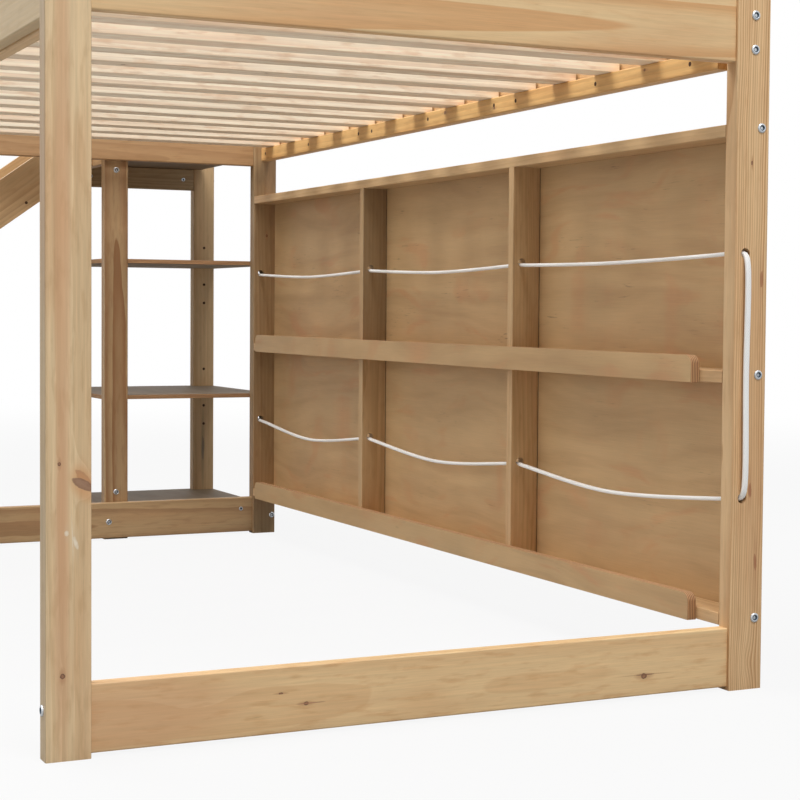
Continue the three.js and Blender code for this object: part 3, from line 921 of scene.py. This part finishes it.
def middle(node):
    """The middle of a board's box."""
    low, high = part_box(node)
    return (low + high) / 2


def along_bed(side):
    """Bolts in the front and rear faces of the posts on one side, which hold the long boards."""
    rail, guard = middle(f"side_rail_{side}"), middle(f"guard_{side}")
    for end, out in (("front", -1), ("rear", 1)):
        low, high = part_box(f"post_{end}_{side}")
        y = low.y if out < 0 else high.y
        spots = [(rail.x, y, rail.z + up) for up in (-PAIR, PAIR)]
        if end == "front":
            spots.append((guard.x, y, guard.z))
        if side == "right":
            shelves = [middle(f"bookcase_{row}").z for row in ("top", "middle", "bottom")]
            spots += [(high.x - SHELF_BOLT_IN, y, z + SHELF_BOLT_UP) for z in shelves]
        place_turned(f"bolts_{end}_{side}", BOLT, spots, (0, out, 0))


def across_bed(end):
    """Bolts in the outer sides of the posts at one end, and the nuts that they meet in the end boards."""
    low_rail, beam = middle(f"{end}_lower_rail"), middle(f"{end}_end_beam")
    heights = (LOW_BOLT_Z, beam.z - BEAM_PAIR, beam.z + BEAM_PAIR)
    for side, out in (("left", -1), ("right", 1)):
        low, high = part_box(f"post_{end}_{side}")
        x = low.x if out < 0 else high.x
        place_turned(f"side_bolts_{end}_{side}", BOLT, [(x, low_rail.y, z) for z in heights], (out, 0, 0))
    for board in ("lower_rail", "end_beam"):
        low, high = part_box(f"{end}_{board}")
        out = -1 if board == "lower_rail" and end == "rear" else 1
        y = high.y if out > 0 else low.y
        levels = [z for z in heights if low.z < z < high.z]
        nuts = [(x, y, z) for x in (low.x + NUT_IN, high.x - NUT_IN) for z in levels]
        place_turned(f"nuts_{end}_{board}", NUT, nuts, (0, out, 0))


def side_nuts(side, out):
    """Nuts on the inner face of a side rail."""
    low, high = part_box(f"side_rail_{side}")
    x = low.x if out < 0 else high.x
    spots = [(x, high.y - NUT_IN, middle(f"side_rail_{side}").z + up) for up in (-PAIR, PAIR)]
    place_turned(f"nuts_side_{side}", NUT, spots, (out, 0, 0))


def tower_fittings():
    """Bolts and nuts that hold the tower together."""
    near_x = middle("tower_post_near_left").x
    near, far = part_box("tower_post_near_left")[0].y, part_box("tower_post_far_left")[1].y
    place_turned("bolts_tower_near", BOLT, [(near_x, near, z * MM) for z in TOWER_BOLTS], (0, -1, 0))
    place_turned("bolts_tower_far", BOLT, [(near_x, far, z * MM) for z in TOWER_BOLTS], (0, 1, 0))
    low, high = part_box("tower_far_rail")
    height, depth = middle("tower_far_rail").z, middle("tower_far_rail").y
    nuts = [(x, low.y, height) for x in (low.x + NUT_IN, high.x - NUT_IN)]
    place_turned("nuts_tower", NUT, nuts, (0, -1, 0))
    left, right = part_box("tower_post_far_left")[0].x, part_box("tower_post_far_right")[1].x
    place_turned("bolt_tower_left", BOLT, [(left, depth, height)], (-1, 0, 0))
    place_turned("bolt_tower_right", BOLT, [(right, depth, height)], (1, 0, 0))
    place_turned("bolts_foot", BOLT, [bed(*spot) for spot in FOOT_BOLTS], (0, -1, 0))
    place_turned("holes_slide", PEG_HOLE, [bed(*SLIDE_HOLE)], (0, -1, 0))


def peg_rows():
    """The rows of holes that the tower's shelves hang on, in the faces that look into the tower."""
    heights = [start + i * PEG_PITCH for start in PEG_STARTS for i in range(PEGS)]
    rows = (
        ("far_right", 972, 2403, -1), ("far_left", 607.5, 2403, -1),
        ("near_right", 972, 1979, 1), ("near_left", 607.5, 2005, 1),
    )
    for name, x, y, out in rows:
        spots = [bed(x, y, z) for z in heights]
        place_turned(f"peg_holes_{name}", PEG_HOLE, spots, (0, out, 0))


def ledger_holes():
    """The holes in the ledgers' inner faces."""
    for side, x, out in (("right", 943, -1), ("left", 0, 1)):
        spots = [bed(x, y, LEDGER_HOLE_Z) for y in LEDGER_HOLES]
        place_turned(f"holes_ledger_{side}", PEG_HOLE, spots, (out, 0, 0))


along_bed("left")
along_bed("right")
across_bed("front")
across_bed("rear")
side_nuts("left", 1)
side_nuts("right", -1)
tower_fittings()
peg_rows()
ledger_holes()

# %% [markdown]
# Floor and light. A pale floor under soft light shows wood best: it throws light back up under the
# slats, as a studio sweep does. One lamp stands high over the slats, so that its light falls through
# them onto the far ledger in bands, one is in front, and two on the left light the bookcase. For the
# camera the floor is lifted most of the way to white and keeps a faint shadow, and the world is white.
# All other rays see its real brightness.

# %% Stage
FLOOR_R = 40.0
FLOOR_LIFT = 0.9  # of the way to white, for the camera, near the bed
FADE_FROM = 2.5
FADE_TO = 7.0
WHITE = (1, 1, 1, 1)


def make_floor():
    """A round floor, far wider than the view, which fades to white."""
    mesh = bmesh.new()
    bmesh.ops.create_circle(mesh, cap_ends=True, segments=96, radius=FLOOR_R)
    f = Finish("floor")
    place = f.node("ShaderNodeTexCoord", output="Object")
    away = f.node("ShaderNodeVectorMath", {"operation": "LENGTH"}, {0: place}, output="Value")
    seen = f.node("ShaderNodeLightPath").out("Is Camera Ray")
    lift = seen * (away.rise(FADE_FROM, FADE_TO) * (1 - FLOOR_LIFT) + FLOOR_LIFT)
    white = f.node("ShaderNodeEmission", None, {"Color": WHITE, "Strength": 1.0})
    f.fill(f.shader, {"Base Color": paint(180, 180, 179), "Roughness": 0.9})
    mixed = f.node("ShaderNodeMixShader", None, {0: lift, 1: Socket(f, f.shader.outputs[0]), 2: white})
    f.fill(f.tree.nodes["Material Output"], {"Surface": mixed})
    floor = finish_mesh("floor", mesh, [f.material])
    return floor


def make_lamp(name, place, aim, size, power):
    """A soft lamp at place that points to aim, with its power in watts."""
    data = bpy.data.lights.new(name, "AREA")
    data.shape = "RECTANGLE"
    data.size, data.size_y = size
    data.energy = power
    lamp = bpy.data.objects.new(name, data)
    lamp.location = place
    lamp.rotation_mode = "QUATERNION"
    lamp.rotation_quaternion = (Vector(aim) - Vector(place)).to_track_quat("-Z", "Y")
    bpy.context.collection.objects.link(lamp)
    return lamp


def make_world(strength):
    """White for the camera, mirrors and glass, and that strength for all other light."""
    world = bpy.data.worlds.new("studio")
    bpy.context.scene.world = world
    world.use_nodes = True
    world.node_tree.nodes.clear()
    w = Wiring(world.node_tree)
    ray = w.node("ShaderNodeLightPath")
    seen = ray.out("Is Camera Ray").math("MAXIMUM", ray.out("Is Glossy Ray"))
    seen = seen.math("MAXIMUM", ray.out("Is Transmission Ray"))
    fill = w.node("ShaderNodeBackground", None, {"Color": WHITE, "Strength": strength})
    white = w.node("ShaderNodeBackground", None, {"Color": WHITE, "Strength": 1.0})
    mixed = w.node("ShaderNodeMixShader", None, {0: seen, 1: fill, 2: white})
    w.node("ShaderNodeOutputWorld", None, {"Surface": mixed})


make_floor()
make_world(0.11)
make_lamp("key", (0.6, -4.2, 4.9), (0.1, -0.4, 0.5), (2.6, 2.6), 225)
make_lamp("top", (-1.0, 0.3, 4.6), (0.4, 0.0, 0.8), (2.6, 2.6), 185)
make_lamp("left", (-9.0, -0.6, 2.9), (0.8, -0.2, 0.4), (5.0, 3.0), 95)
make_lamp("left_high", (-6.5, 0.2, 4.4), (0.8, 0.0, 0.4), (3.0, 2.0), 75)
scene = bpy.context.scene
scene.view_settings.view_transform = "Standard"
print("lamps:", sum(o.type == "LIGHT" for o in scene.objects))
